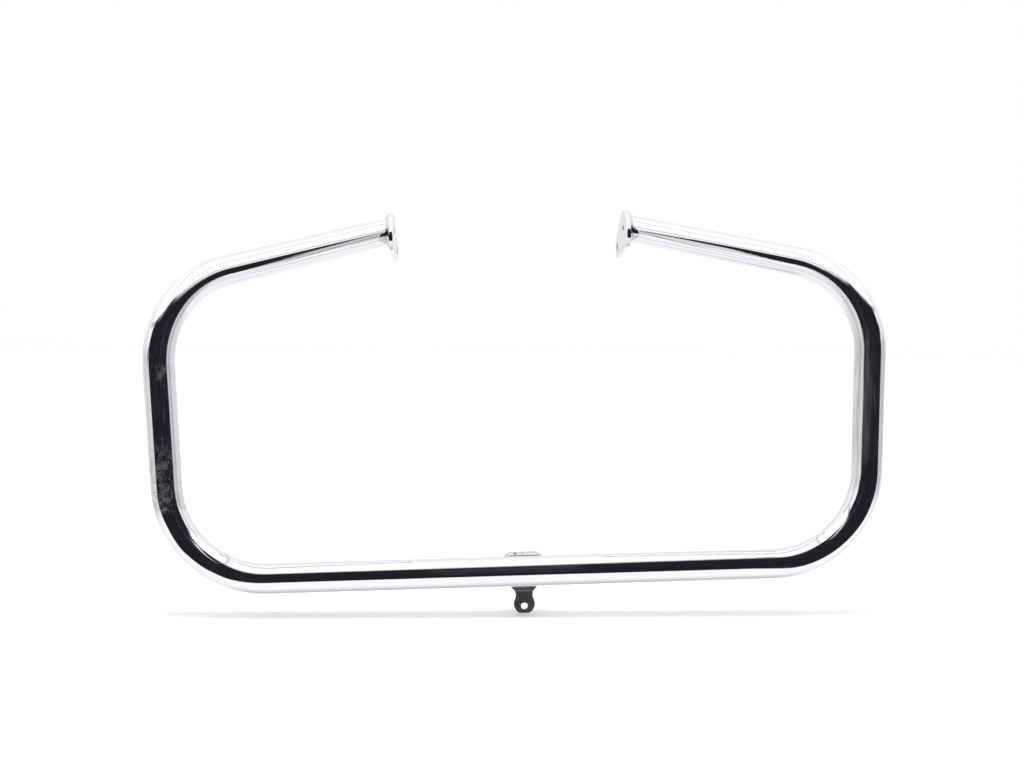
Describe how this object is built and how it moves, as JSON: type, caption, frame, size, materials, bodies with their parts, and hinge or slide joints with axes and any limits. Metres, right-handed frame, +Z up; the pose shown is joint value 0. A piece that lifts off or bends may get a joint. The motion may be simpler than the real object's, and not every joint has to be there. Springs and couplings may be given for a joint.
{
  "type": "motorcycle crash bars",
  "caption": "Chrome-plated tubular crash bars for a cruiser: a bent loop with swept-back upper arms, flange plates at their ends and a bolt tab under the lower run.",
  "frame": {"origin": "centre of the bolt hole in the lower tab, at the middle of the tab's thickness", "axes": "+X across the guard to the viewer's right seen from the front, +Y to the rear of the motorcycle, +Z up"},
  "size_m": [0.7748, 0.2679, 0.4443],
  "materials": {
    "tube_chrome": "bright plate, lightly scuffed",
    "plate_chrome": "bright plate over sheet",
    "weld_chrome": "bright plate over rippled bead"
  },
  "bodies": {
    "root": {"main_tube": "tube_chrome", "left_end_plate": "plate_chrome", "right_end_plate": "plate_chrome", "left_end_weld": "weld_chrome", "right_end_weld": "weld_chrome", "lower_bracket": "plate_chrome", "bracket_top_weld": "weld_chrome", "bracket_side_welds": "weld_chrome"}
  },
  "joints": []
}
